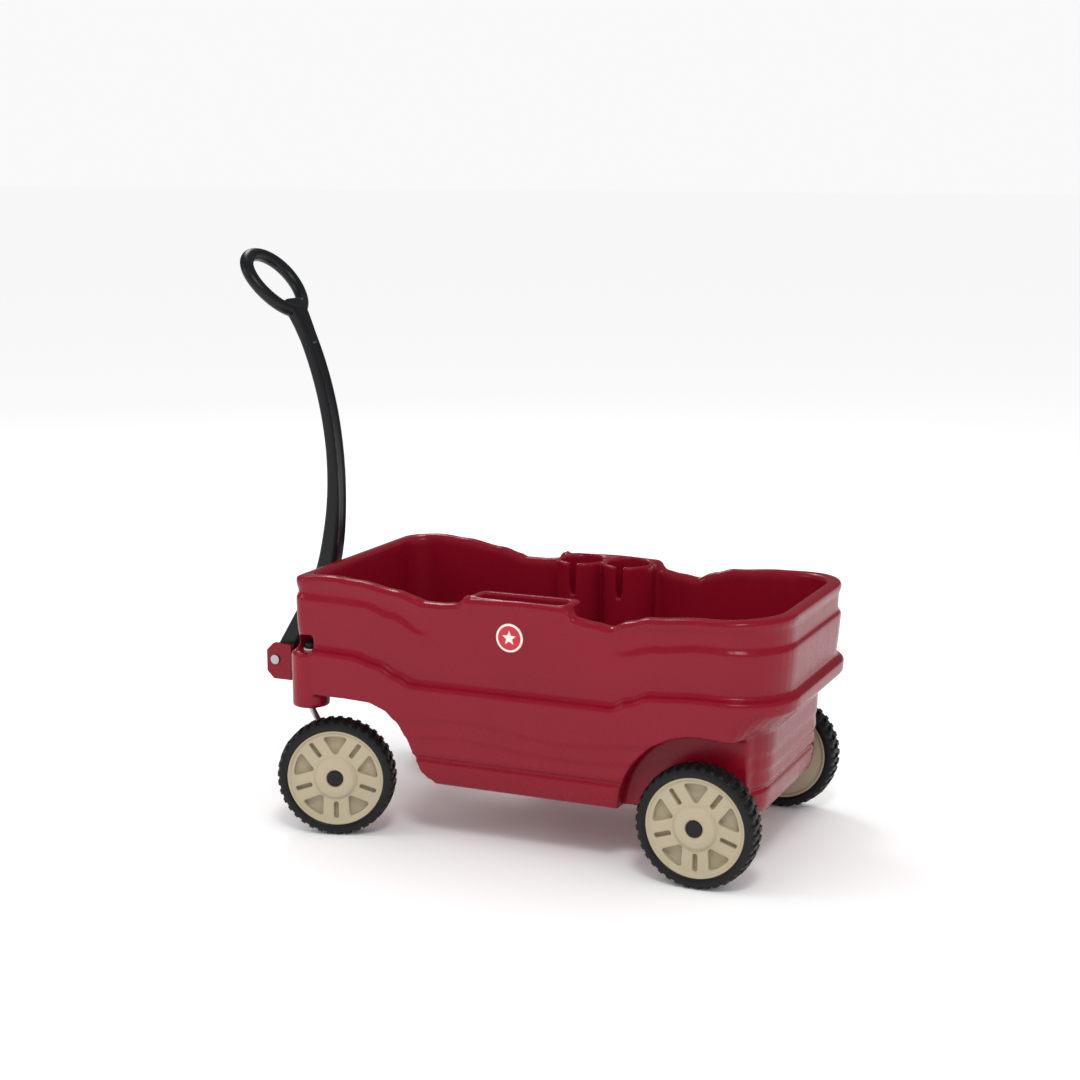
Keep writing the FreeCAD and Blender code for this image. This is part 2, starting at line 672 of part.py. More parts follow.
def handle_path():
    """A straight shank up from the hinge, a bend and a long bow, in the wagon's middle plane."""
    foot = Vector(D["hinge_x"], 0, D["hinge_z"])
    centre = Vector(D["bow_back"] + D["bow_radius"], 0, D["bow_rise"])
    on_bow = lambda z: centre - Vector(math.sqrt(D["bow_radius"] ** 2 - (z - centre.z) ** 2), 0, centre.z - z)
    join, neck = on_bow(D["bow_join"]), on_bow(D["neck_height"])
    bend = join + (centre - join).normalize() * D["bend_radius"]
    away = foot - bend
    opening = math.degrees(math.acos(D["bend_radius"] / away.Length))
    touch = bend + Rotation(Vector(0, 1, 0), opening).multVec(away).normalize() * D["bend_radius"]
    crown = bend + ((touch - bend) + (join - bend)).normalize() * D["bend_radius"]
    edges = [
        Part.LineSegment(foot, touch).toShape(),
        Part.Arc(touch, crown, join).toShape(),
        Part.Arc(join, on_bow(D["bow_rise"]), neck).toShape(),
    ]
    stations = [
        (foot, touch - foot, D["handle_foot"]),
        (join, Vector(join.z - centre.z, 0, centre.x - join.x), D["handle_waist"]),
        (neck, Vector(neck.z - centre.z, 0, centre.x - neck.x), D["handle_neck"]),
    ]
    return Part.Wire(edges), stations


def pull_handle(name):
    path, stations = handle_path()
    foot, neck = stations[0][0], stations[-1][0]
    across = Vector(0, 1, 0)
    arm = swept(path, [handle_section(*station) for station in stations])
    width = D["handle_width"]
    knuckle = Part.makeCylinder(D["knuckle_radius"], width, foot - across * (width / 2), across)
    lean = Rotation(across, D["grip_lean"])
    middle = neck + lean.multVec(UP) * D["grip_radius"]
    loop = Part.makeTorus(D["grip_radius"], D["grip_tube"], middle, lean.multVec(Vector(1, 0, 0)))
    bore = Part.makeCylinder(D["pin_radius"] + D["running_gap"], width * 2, foot - across * width, across)
    made = doc.addObject("Part::Feature", name)
    made.Shape = arm.fuse([knuckle, loop]).cut(bore).removeSplitter()
    return made


def add_running_gear():
    add_rear_axle()
    for name, side in (("left", 1), ("right", -1)):
        add_caster(name, side)


def wheel_set(name, place):
    """A wheel, its tyre and its hub cap at one placement, outer face along the placement's +Z."""
    keep(wheel(name + "_wheel_body"), name + "_wheel", place)
    keep(tyre(name + "_tyre_body"), name + "_tyre", place)
    low = "hub_face - cap_depth / 2"
    keep(ring(name + "_cap_body", "0", "cap_radius", low, "hub_face"), name + "_hub_cap", place)
    seat = "hub_face - cap_depth + side_gap"
    washer = ring(name + "_washer_body", "axle_radius", "washer_radius", seat, f"{seat} + washer_thick")
    keep(washer, name + "_axle_washer", place)


def add_rear_axle():
    x, z = -D["wheelbase"] / 2, D["wheel_radius"]
    reach = "wheel_track / 2 + hub_face - cap_depth + axle_end"
    axle = bind(doc.addObject("Part::Cylinder", "RearAxle"), Radius="axle_radius", Height=f"({reach}) * 2")
    half = D["wheel_track"] / 2 + D["hub_face"] - D["cap_depth"] + D["axle_end"]
    keep(axle, "rear_axle", spot(x, -half, z, TO_LEFT))
    for name, side, turn in (("left", 1, TO_LEFT), ("right", -1, TO_RIGHT)):
        wheel_set("rear_" + name, spot(x, side * D["wheel_track"] / 2, z, turn))
        keep(bush(f"{name}_axle_bush_body"), f"{name}_axle_bush", spot(x, side * D["well_half"], z, turn))
        length = "wheel_track / 2 - hub_back - well_half - flange_thick - side_gap"
        far = f"flange_thick + {length}"
        spacer = ring(f"{name}_axle_spacer_body", "axle_radius", "washer_radius", "flange_thick", far)
        keep(spacer, f"{name}_axle_spacer", spot(x, side * D["well_half"], z, turn))


def add_caster(name, side):
    kingpin = spot(D["kingpin_x"], side * D["kingpin_y"], 0, Rotation(UP, D[name + "_angle"]))
    keep(caster_rod(name + "_rod_body", side), name + "_caster_rod", kingpin)
    outward = TO_LEFT if side > 0 else TO_RIGHT
    hub = kingpin.multiply(spot(-D["caster_trail"], side * D["caster_side"], D["wheel_radius"], outward))
    wheel_set("front_" + name, hub)
    back = "-hub_back - side_gap"
    spacer = ring(f"{name}_spacer_body", "axle_radius", "washer_radius", f"{back} - spacer_length", back)
    keep(spacer, f"{name}_caster_spacer", hub)
    top = spot(D["kingpin_x"], side * D["kingpin_y"], D["band_top"])
    bottom = spot(D["kingpin_x"], side * D["kingpin_y"], D["boss_bottom"], Rotation(Vector(1, 0, 0), 180))
    keep(bush(name + "_upper_bush_body"), name + "_upper_bush", top)
    keep(bush(name + "_lower_bush_body"), name + "_lower_bush", bottom)
    rise = D["band_top"] + D["flange_thick"] + D["side_gap"]
    keep(cap_nut(name + "_nut_body"), name + "_kingpin_nut", kingpin.multiply(spot(0, 0, rise)))
    drop = D["boss_bottom"] - D["flange_thick"] - D["side_gap"] - D["collar_height"]
    keep(collar(name + "_collar_body"), name + "_kingpin_collar", kingpin.multiply(spot(0, 0, drop)))


def add_hitch():
    keep(bracket(), "hitch_bracket")
    head = "hitch_head_radius", "hitch_head_height"
    bolt = headed_pin("HitchBolt", "hitch_bolt_radius", "hitch_bolt_depth", *head)
    keep(bolt, "hitch_bolt", spot(D["hitch_bolt_x"], 0, D["nose_top"] + D["tongue_thick"]))
    side = D["ear_gap"] + D["ear_thick"]
    length = "(ear_gap + ear_thick) * 2 + axle_end"
    pin = headed_pin("HingePin", "pin_radius", length, "pin_head_radius", "pin_head_height")
    keep(pin, "handle_pin", spot(D["hinge_x"], side, D["hinge_z"], TO_LEFT))
    nut = ring("HingePinNut", "pin_radius", "pin_head_radius", "0", "axle_end")
    keep(nut, "handle_pin_nut", spot(D["hinge_x"], -side, D["hinge_z"], TO_RIGHT))
    keep(pull_handle("HandleBody"), "pull_handle")


def add_badges():
    for name, side, turn in (("left", 1, TO_LEFT), ("right", -1, TO_RIGHT)):
        disc = doc.addObject("Part::Cylinder", name + "_badge_disc")
        bind(disc, Radius="badge_radius", Height="badge_thick")
        face = D["band_half"] - D["band_step"]
        keep(disc, name + "_badge", spot(D["badge_ahead"], side * face, D["badge_height"], turn))


def check_document():
    for thing in doc.Objects:
        if "Invalid" in thing.State or "Error" in thing.State:
            raise RuntimeError(f"{thing.Label} failed: {thing.State}")
    for piece in parts:
        shape = piece.Shape
        if shape.isNull() or not shape.isValid() or len(shape.Solids) != 1:
            raise RuntimeError(f"{piece.Label} isn't one valid solid")


def write_parts():
    os.makedirs("parts", exist_ok=True)
    for piece in parts:
        piece.Shape.exportStep(f"parts/{piece.Label}.step")
        size = piece.Shape.BoundBox
        print(f"{piece.Label}: {size.XLength:.1f} x {size.YLength:.1f} x {size.ZLength:.1f} mm")


keep(tub_shell(), "tub")
add_running_gear()
add_hitch()
add_badges()
doc.recompute()
check_document()
write_parts()
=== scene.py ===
# %% [markdown]
# A child's pull wagon. The CAD model is the frame: it fixes every size, place and joint, and this
# file gives the visible surfaces their moulded shapes and their finishes. All lengths below are in
# millimetres, measured from the middle of the wheelbase on the floor, and one function turns them
# into the frame's metres.

# %% Load the frame
import bpy
import bmesh
import json
import math
from mathutils import Matrix, Vector


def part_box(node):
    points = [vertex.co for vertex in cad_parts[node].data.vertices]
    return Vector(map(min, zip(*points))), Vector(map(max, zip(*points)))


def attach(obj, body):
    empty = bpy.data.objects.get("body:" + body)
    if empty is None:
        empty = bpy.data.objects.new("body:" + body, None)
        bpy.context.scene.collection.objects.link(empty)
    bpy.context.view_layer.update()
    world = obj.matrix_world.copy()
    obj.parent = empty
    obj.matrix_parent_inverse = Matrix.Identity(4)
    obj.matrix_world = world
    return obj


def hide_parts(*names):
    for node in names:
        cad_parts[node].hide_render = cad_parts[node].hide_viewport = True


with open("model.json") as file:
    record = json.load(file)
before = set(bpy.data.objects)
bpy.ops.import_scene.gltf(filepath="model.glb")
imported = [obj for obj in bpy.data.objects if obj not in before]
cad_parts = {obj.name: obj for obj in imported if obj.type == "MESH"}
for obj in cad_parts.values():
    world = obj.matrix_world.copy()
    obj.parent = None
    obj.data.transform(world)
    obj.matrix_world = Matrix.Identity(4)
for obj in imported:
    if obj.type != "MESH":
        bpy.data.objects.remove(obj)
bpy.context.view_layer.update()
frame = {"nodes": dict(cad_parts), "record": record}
nodes = frame["nodes"]
MM = 0.001
ORIGIN_AHEAD = 84.0
UP = Vector((0, 0, 1))
AHEAD = Vector((1, 0, 0))
LEFT = Vector((0, 1, 0))


def at(x, y, z):
    """A point in the frame's metres, from millimetres about the middle of the wheelbase."""
    return Vector((x - ORIGIN_AHEAD, y, z)) * MM


# %% [markdown]
# The camera comes first, so that every later choice can be looked at through it. It stands ahead
# of the wagon on its left, a little over three metres away, with a short telephoto lens.

# %% Camera
CAMERA_AT = at(-1369.39, 3211.73, 1185.32)
CAMERA_LOOKS = Vector((0.39760, -0.89795, -0.18867))
FIELD_OF_VIEW = 30.17

camera_data = bpy.data.cameras.new("camera")
camera_data.sensor_width = 36
camera_data.angle = math.radians(FIELD_OF_VIEW)
camera = bpy.data.objects.new("camera", camera_data)
camera.location = CAMERA_AT
camera.rotation_euler = CAMERA_LOOKS.to_track_quat("-Z", "Y").to_euler()
bpy.context.scene.collection.objects.link(camera)
bpy.context.scene.camera = camera
print("camera lens", round(camera_data.lens, 1), "mm")

# %% [markdown]
# A pale floor and a pale world give the even, bright surroundings of a catalogue shot. Large soft
# lamps avoid hard shadows: one high on the left, one low ahead and one behind for the rims.


# %% Floor, world and lamps
def srgb(code):
    """A linear colour from an sRGB hex value."""
    parts = [int(code[i:i + 2], 16) / 255 for i in (1, 3, 5)]
    return [p / 12.92 if p <= 0.04045 else ((p + 0.055) / 1.055) ** 2.4 for p in parts] + [1.0]


def add_node(material, kind, inputs=(), **settings):
    """Adds a node with its settings; inputs pairs a socket with a value or an output to link."""
    node = material.node_tree.nodes.new(kind)
    for name, value in settings.items():
        setattr(node, name, value)
    for name, value in dict(inputs).items():
        if isinstance(value, bpy.types.NodeSocket):
            material.node_tree.links.new(value, node.inputs[name])
        else:
            node.inputs[name].default_value = value
    return node


def lamp(name, place, target, size, watts):
    data = bpy.data.lights.new(name, "AREA")
    data.shape = "DISK"
    data.size = size
    data.energy = watts
    made = bpy.data.objects.new(name, data)
    made.location = place
    made.rotation_euler = (target - place).to_track_quat("-Z", "Y").to_euler()
    bpy.context.scene.collection.objects.link(made)
    return made


def make_floor():
    mesh = bmesh.new()
    bmesh.ops.create_grid(mesh, x_segments=1, y_segments=1, size=60)
    data = bpy.data.meshes.new("floor")
    mesh.to_mesh(data)
    mesh.free()
    floor = bpy.data.objects.new("floor", data)
    bpy.context.scene.collection.objects.link(floor)
    paint = bpy.data.materials.new("studio_floor")
    paint.use_nodes = True
    shader = paint.node_tree.nodes["Principled BSDF"]
    shader.inputs["Base Color"].default_value = srgb("#fdfdfd")
    shader.inputs["Roughness"].default_value = 0.9
    shader.inputs["Specular IOR Level"].default_value = 0.0
    data.materials.append(paint)


make_floor()
MIDDLE = at(60, 0, 300)
lamp("key", Vector((-1.6, 3.0, 4.2)), MIDDLE, 1.1, 70)
lamp("fill", Vector((3.4, 2.2, 2.4)), MIDDLE, 1.1, 16)
lamp("back", Vector((2.2, -2.6, 3.4)), MIDDLE, 1.1, 36)
world = bpy.data.worlds.new("studio")
world.use_nodes = True
sky = world.node_tree.nodes["Background"]
sky.inputs["Color"].default_value = srgb("#f9f9f9")
ray = add_node(world, "ShaderNodeLightPath").outputs["Is Glossy Ray"]
dimmer = add_node(world, "ShaderNodeMapRange", {"Value": ray, "To Min": 1.0, "To Max": 0.15})
world.node_tree.links.new(dimmer.outputs["Result"], sky.inputs["Strength"])
bpy.context.scene.world = world
bpy.context.scene.view_settings.view_transform = "Standard"
print("lamps", len(bpy.data.lights))

# %% [markdown]
# The finishes. Rotation-moulded polyethylene is coloured all through, slightly waxy, and has a very
# fine orange-peel from the mould. One recipe makes all the moulded plastics: a base colour with
# cloudy variation, grain in the bump, and a roughness that wanders a little, as handled plastic does.


# %% Moulded plastics
def moulded_plastic(name, colour, shade, roughness, grain_mm, depth, coat=0.0):
    """Polyethylene or nylon from a mould: cloudy colour, fine grain, soft satin gloss."""
    made = bpy.data.materials.new(name)
    made.use_nodes = True
    shader = made.node_tree.nodes["Principled BSDF"]
    place = add_node(made, "ShaderNodeTexCoord").outputs["Object"]
    cloud = add_node(made, "ShaderNodeTexNoise", {"Vector": place, "Scale": 6.0, "Detail": 3.0})
    tint = add_node(made, "ShaderNodeMix", {"Factor": cloud.outputs["Fac"]}, data_type="RGBA")
    tint.inputs["A"].default_value = srgb(colour)
    tint.inputs["B"].default_value = srgb(shade)
    made.node_tree.links.new(tint.outputs["Result"], shader.inputs["Base Color"])
    scuffs = add_node(made, "ShaderNodeTexNoise", {"Vector": place, "Scale": 45.0, "Detail": 6.0})
    spread = {"Value": scuffs.outputs["Fac"], "To Min": roughness - 0.06, "To Max": roughness + 0.08}
    worn = add_node(made, "ShaderNodeMapRange", spread)
    made.node_tree.links.new(worn.outputs["Result"], shader.inputs["Roughness"])
    grain = add_node(made, "ShaderNodeTexNoise", {"Vector": place, "Scale": 1000 / grain_mm, "Detail": 2.0})
    bump = {"Height": grain.outputs["Fac"], "Strength": depth, "Distance": 0.0004}
    bumps = add_node(made, "ShaderNodeBump", bump)
    made.node_tree.links.new(bumps.outputs["Normal"], shader.inputs["Normal"])
    shader.inputs["IOR"].default_value = 1.5
    shader.inputs["Specular IOR Level"].default_value = 0.25
    shader.inputs["Coat Weight"].default_value = coat
    shader.inputs["Coat Roughness"].default_value = 0.3
    return made


TUB_PLASTIC = moulded_plastic("maroon_polyethylene", "#850b22", "#7a091d", 0.26, 2.2, 0.15)
WHEEL_PLASTIC = moulded_plastic("beige_polyethylene", "#b6aa91", "#aa9e85", 0.44, 2.0, 0.22)
HANDLE_PLASTIC = moulded_plastic("black_polyethylene", "#1b1c1e", "#161719", 0.34, 1.8, 0.3)
CAP_PLASTIC = moulded_plastic("black_nylon", "#141416", "#1a1a1d", 0.32, 1.5, 0.2)
BUSH_PLASTIC = moulded_plastic("natural_nylon", "#c9c8c0", "#bdbcb3", 0.45, 1.5, 0.2)
TYRE_PLASTIC = moulded_plastic("black_tyre_vinyl", "#131315", "#1b1b1d", 0.46, 1.6, 0.35)
BADGE_CREAM = moulded_plastic("cream_badge_vinyl", "#efe9dd", "#e6dfd1", 0.3, 3.0, 0.1, 0.3)
BADGE_RED = moulded_plastic("red_badge_vinyl", "#c22334", "#b71e2f", 0.28, 3.0, 0.1, 0.4)


# %% Zinc-plated steel
def plated_steel(name, colour, roughness):
    """Drawn rod with bright zinc: grey metal whose gloss varies from spot to spot."""
    made = bpy.data.materials.new(name)
    made.use_nodes = True
    shader = made.node_tree.nodes["Principled BSDF"]
    place = add_node(made, "ShaderNodeTexCoord").outputs["Object"]
    streaks = add_node(made, "ShaderNodeTexNoise", {"Vector": place, "Scale": 300.0, "Detail": 3.0})
    spread = {"Value": streaks.outputs["Fac"], "To Min": roughness - 0.08, "To Max": roughness + 0.1}
    worn = add_node(made, "ShaderNodeMapRange", spread)
    made.node_tree.links.new(worn.outputs["Result"], shader.inputs["Roughness"])
    shader.inputs["Base Color"].default_value = srgb(colour)
    shader.inputs["Metallic"].default_value = 1.0
    return made


ZINC = plated_steel("zinc_plated_steel", "#b4b6b8", 0.34)
print("materials", [m.name for m in bpy.data.materials])


# %% [markdown]
# A moulding is made as a mould maker thinks of it: plain bodies added and cut, then every edge
# rounded at once. Each body is a closed mesh from bmesh operators. Booleans join them, a voxel
# remesh fuses the skin into one even surface, and smoothing melts the edges to a moulded radius.


# %% Helpers that make closed bodies
def solid(mesh, name):
    """Turns a bmesh into an object, its normals outward."""
    bmesh.ops.recalc_face_normals(mesh, faces=mesh.faces)
    data = bpy.data.meshes.new(name)
    mesh.to_mesh(data)
    mesh.free()
    made = bpy.data.objects.new(name, data)
    bpy.context.scene.collection.objects.link(made)
    return made


def prism(name, outline, depth, side=0.0):
    """An outline of (x, z) points, extruded by depth each way from y = side."""
    mesh = bmesh.new()
    face = mesh.faces.new([mesh.verts.new(at(x, side - depth, z)) for x, z in outline])
    grown = bmesh.ops.extrude_face_region(mesh, geom=[face])
    moved = [v for v in grown["geom"] if isinstance(v, bmesh.types.BMVert)]
    bmesh.ops.translate(mesh, verts=moved, vec=LEFT * 2 * depth * MM)
    return solid(mesh, name)


def slab(name, outline, low, high):
    """An outline of (x, y) points, extruded from low to high."""
    mesh = bmesh.new()
    face = mesh.faces.new([mesh.verts.new(at(x, y, low)) for x, y in outline])
    grown = bmesh.ops.extrude_face_region(mesh, geom=[face])
    moved = [v for v in grown["geom"] if isinstance(v, bmesh.types.BMVert)]
    bmesh.ops.translate(mesh, verts=moved, vec=UP * (high - low) * MM)
    return solid(mesh, name)


def block(name, x0, x1, y0, y1, low, high, corner=0.0):
    """A box with its upright edges rounded."""
    mesh = bmesh.new()
    bmesh.ops.create_cube(mesh, size=1)
    bmesh.ops.scale(mesh, verts=mesh.verts, vec=Vector((x1 - x0, y1 - y0, high - low)) * MM)
    middle = at((x0 + x1) / 2, (y0 + y1) / 2, (low + high) / 2)
    bmesh.ops.translate(mesh, verts=mesh.verts, vec=middle)
    if corner:
        upright = [e for e in mesh.edges if abs(e.verts[0].co.z - e.verts[1].co.z) > 1e-6]
        bmesh.ops.bevel(mesh, geom=upright, offset=corner * MM, segments=8, profile=0.5, affect="EDGES", material=-1)
    return solid(mesh, name)


def drum(name, middle, axis, radius, length, taper=1.0, segments=64):
    """A cylinder or a cone about an axis, centred on a point."""
    mesh = bmesh.new()
    sizes = {"radius1": radius * MM, "radius2": radius * taper * MM, "depth": length * MM}
    bmesh.ops.create_cone(mesh, cap_ends=True, segments=segments, **sizes)
    turn = axis.to_track_quat("Z", "Y").to_matrix().to_4x4()
    bmesh.ops.transform(mesh, matrix=Matrix.Translation(middle) @ turn, verts=mesh.verts)
    return solid(mesh, name)


def fused(name, base, added, cut, voxel, smoothing, most_faces):
    """Joins and cuts closed bodies, then melts them into one moulded skin."""
    for kind, tools in (("UNION", added), ("DIFFERENCE", cut)):
        for tool in tools:
            step = base.modifiers.new(kind.lower(), "BOOLEAN")
            step.operation = kind
            step.solver = "EXACT"
            step.object = tool
    melt = base.modifiers.new("melt", "REMESH")
    melt.mode = "VOXEL"
    melt.voxel_size = voxel * MM
    melt.use_smooth_shade = True
    soft = base.modifiers.new("soft", "SMOOTH")
    soft.factor = 0.5
    soft.iterations = smoothing
    baked = bpy.data.meshes.new_from_object(base.evaluated_get(bpy.context.evaluated_depsgraph_get()))
    for tool in added + cut + [base]:
        bpy.data.objects.remove(tool)
    made = bpy.data.objects.new(name, baked)
    bpy.context.scene.collection.objects.link(made)
    if len(baked.polygons) > most_faces:
        thin = made.modifiers.new("thin", "DECIMATE")
        thin.ratio = most_faces / len(baked.polygons) / 2
        lighter = bpy.data.meshes.new_from_object(made.evaluated_get(bpy.context.evaluated_depsgraph_get()))
        made.modifiers.clear()
        made.data = lighter
    for polygon in made.data.polygons:
        polygon.use_smooth = True
    print(name, len(made.data.polygons), "faces")
    return made


# %% [markdown]
# The tub's outside and inside are one stack of rings, from the foot, over the ledge of the lower
# band and the rolled rim, down to the seats. Each ring is the tub's plan, a rectangle whose corner
# points are bevelled into arcs, drawn smaller by an inset and lifted to a height that changes along
# the wagon. Neighbouring rings are bridged.

# %% The lines that run along the tub
REAR_END = 472
FRONT_END = 434
BAND_HALF = 236
REAR_CORNER = 85
FRONT_CORNER = 30
RIM_LINE = [(-472, 452), (-330, 447), (-240, 441), (-205, 432), (-190, 428), (-178, 419), (-140, 424), (-101, 430),
            (-97, 446), (-12, 448), (70, 446), (86, 444), (96, 450), (104, 434), (140, 431), (180, 431), (186, 436),
            (228, 446), (302, 457), (356, 461), (434, 455)]
LEDGE_LINE = [(-472, 316), (-335, 318), (-249, 313), (-205, 298), (-178, 286), (194, 286), (223, 297), (262, 314),
              (311, 325), (362, 327), (434, 327)]
CREASE_LINE = [(-472, 398), (-391, 398), (-331, 399), (-262, 391), (-178, 376), (172, 376), (235, 402), (290, 417),
               (334, 419), (434, 421)]


def along(line, x):
    """The height of a line at x, eased between its points."""
    for (x0, z0), (x1, z1) in zip(line, line[1:]):
        if x <= x1:
            share = min(1.0, max(0.0, (x - x0) / (x1 - x0)))
            return z0 + (z1 - z0) * share * share * (3 - 2 * share)
    return line[-1][1]


# %% The stack of rings
def plan_ring(mesh, inset, rear_corner, front_corner):
    """A closed loop of edges: the tub's plan, inset, its corners bevelled and its sides divided."""
    ahead = FRONT_END - max(inset - 8, min(inset, 2))
    x0, x1, half = -REAR_END + inset, ahead, BAND_HALF - inset
    corners = [mesh.verts.new(at(x, y, 0)) for x, y in ((x0, -half), (x1, -half), (x1, half), (x0, half))]
    face = mesh.faces.new(corners)
    for pair, radius in (((0, 3), rear_corner), ((1, 2), front_corner)):
        points = [corners[i] for i in pair]
        arc = {"offset": radius * MM, "segments": 10, "profile": 0.5, "affect": "VERTICES", "material": -1}
        bmesh.ops.bevel(mesh, geom=points, **arc)
    face = [f for f in mesh.faces if len(f.verts) > 30 and all(abs(v.co.z) < 1e-9 for v in f.verts)][-1]
    edges = sorted(face.edges, key=lambda e: -e.calc_length())
    ring_edges = list(face.edges)
    mesh.faces.remove(face)
    for edge, cuts in ((edges[0], 90), (edges[1], 90), (edges[2], 24), (edges[3], 24)):
        cut = bmesh.ops.subdivide_edges(mesh, edges=[edge], cuts=cuts)
        ring_edges += [e for e in cut["geom_split"] if isinstance(e, bmesh.types.BMEdge)]
    return [e for e in set(ring_edges) if e.is_valid]


def lift(edges, height, swell):
    """Sets a ring's heights, swells its sides amidships and tucks its rear end under the band."""
    for vert in {v for e in edges for v in e.verts}:
        x = vert.co.x / MM + ORIGIN_AHEAD
        z = height(x)
        rear = min(1, max(0, (-385 - x) / 60))
        low = min(1, max(0, (300 - z) / 48))
        tuck = 1 - 0.075 * rear * low * low
        amidships = min(1, max(0, (215 - x) / 60)) * min(1, max(0, (x + 235) / 60))
        outward = MM if vert.co.y > 0 else -MM
        side = vert.co.y * tuck + swell * amidships * outward
        vert.co = Vector((vert.co.x * tuck, side, z * MM))


def tub_stack():
    mesh = bmesh.new()
    ledge = lambda drop: lambda x: along(LEDGE_LINE, x) + drop
    rim = lambda drop: lambda x: along(RIM_LINE, x) + drop
    crease = lambda drop: lambda x: along(CREASE_LINE, x) + drop
    ripple = lambda level, swing, drop: lambda x: level + swing * math.sin(x / 62) + drop
    rings = [
        (16, 60, 26, lambda x: 108),
        (11, 62, 26, lambda x: 124),
        (8, 66, 28, lambda x: 147),
        (12, 68, 28, lambda x: 152),
        (12, 68, 28, lambda x: 155),
        (6, 72, 28, lambda x: 161),
        (7, 74, 28, ripple(190, 6, -4)),
        (4, 76, 28, ripple(190, 6, 3)),
        (5, 80, 29, ripple(220, 8, -4)),
        (2, 82, 29, ripple(220, 8, 3)),
        (1, 84, 29, lambda x: 250),
        (0, 85, 30, ledge(-24)),
        (0, 85, 30, ledge(-6)),
        (2, 83, 28, ledge(-2)),
        (11, 77, 24, ledge(1)),
        (13, 76, 22, ledge(6)),
        (10, 76, 22, lambda x: (along(LEDGE_LINE, x) + along(CREASE_LINE, x)) / 2),
        (7.5, 77, 23, crease(-6), -2.5),
        (8, 77, 23, crease(-2), -2),
        (12.5, 74, 22, crease(3), 2.5),
        (12.5, 74, 22, crease(10), 2.5),
        (12, 74, 22, rim(-22), 2),
        (9, 77, 24, rim(-15)),
        (7.5, 78, 24, rim(-7)),
        (10, 76, 24, rim(-2)),
        (15, 72, 25, rim(0)),
        (24, 64, 28, rim(1)),
        (30, 60, 32, rim(0)),
        (34, 56, 38, rim(-5)),
        (35, 52, 40, rim(-14)),
        (37, 50, 40, lambda x: 330),
        (39, 48, 40, lambda x: 290),
        (44, 46, 40, lambda x: 278),
        (52, 44, 40, lambda x: 276),
    ]
    loops = []
    for inset, rear, front, height, *swell in rings:
        loop = plan_ring(mesh, inset, rear + 27, front)
        lift(loop, height, sum(swell))
        loops.append(loop)
    for lower, upper in zip(loops, loops[1:]):
        bmesh.ops.bridge_loops(mesh, edges=lower + upper)
    for end in (loops[0], loops[-1]):
        bmesh.ops.contextual_create(mesh, geom=end)
    print("tub stack", len(mesh.faces), "faces, open edges", sum(e.is_boundary for e in mesh.edges))
    return solid(mesh, "tub_stack")


tub_base = tub_stack()

# %% [markdown]
# What stands on the stack: the cup pods and the tray block beside the footwell, the caster bosses
# under the front corners, the nose that carries the handle, and the housing of the rear axle.

# %% Bodies added to the tub
KINGPIN = (409, 203)
CUPS_AT = (43, -49)
CUP_LINE = -174
CUP_RADIUS = 39


def added_bodies():
    made = [
        block("cup_shelf", -94, 88, -214, -160, 126, 446, 6),
        block("tray_block", -98, 90, 162, 216, 126, 449, 14),
        slab("nose_shelf", [(400, -105), (546, -40), (556, -32), (556, 32), (546, 40), (400, 105)], 222, 252),
        prism("keel", [(400, 178), (530, 178), (546, 186), (556, 204), (556, 252), (400, 252)], 22),
        drum("axle_housing", at(-335, 0, 105), LEFT, 22, 380),
        prism("nose_gusset", [(424, 246), (470, 252), (424, 290)], 34),
    ]
    for x in CUPS_AT:
        made.append(drum("cup_pod", at(x, CUP_LINE + 2, 286), UP, CUP_RADIUS + 6.5, 320, 1.04))
    for side in (1, -1):
        made.append(drum("caster_boss", at(KINGPIN[0], side * (KINGPIN[1] + 3), 269), UP, 33, 98, 1.0))
    return made


# %% [markdown]
# What is cut away: the sweep of the underside over the front casters, the rear wheel arches, the
# slope of the tail, the footwell, the cups with their bottle slots, the tray and the cap-nut niches.

# %% Bodies cut from the tub
WHEEL_ARCH = 147
AXLE = (-335, 105)


def arc_points(middle, radius, start, end, steps):
    """Points (x, z) on an arc, angles in degrees from ahead towards up."""
    angles = [math.radians(start + (end - start) * i / steps) for i in range(steps + 1)]
    return [(middle[0] + radius * math.cos(a), middle[1] + radius * math.sin(a)) for a in angles]


def cut_bodies():
    under_front = [(157, 60), (158, 112), (168, 116), (181, 127), (192, 152), (205, 182), (222, 210), (244, 231),
                   (275, 243), (330, 246), (520, 246), (520, 60)]
    made = [prism("front_underside", under_front, 260)]
    made.append(prism("tail", [(-425, 60), (-425, 108), (-436, 231), (-446, 238), (-500, 238), (-500, 60)], 260))
    for side in (1, -1):
        arch = arc_points(AXLE, WHEEL_ARCH, -25, 90, 24) + [(-520, 236), (-520, 40), (-200, 40)]
        made.append(prism("rear_arch", arch, 40, side * 230))
        niche = [(393, 242), (393, 204), (398, 194), (409, 189), (420, 194), (425, 204), (425, 242)]
        made.append(slab("cap_niche", [(x, side * y) for x, y in niche], 320, 350))
        made.append(drum("kingpin_bore", at(KINGPIN[0], side * KINGPIN[1], 271), UP, 8.1, 110))
    made.append(block("footwell", -120, 110, -186, 186, 128, 300, 22))
    for x in CUPS_AT:
        made.append(drum("cup", at(x, CUP_LINE, 403), UP, CUP_RADIUS - 2, 112, 1.06))
        slot = [(x - 7, 470), (x - 7, 440), (x - 5, 396), (x - 3, 385), (x + 3, 385), (x + 5, 396), (x + 7, 440), (x + 7, 470)]
        made.append(prism("cup_slot", slot, 32, -134))
    made.append(block("tray", -84, 76, 176, 214, 386, 480, 8))
    return made


added, cut = added_bodies(), cut_bodies()
early = [b for b in cut if b.name in ("footwell", "front_underside")]

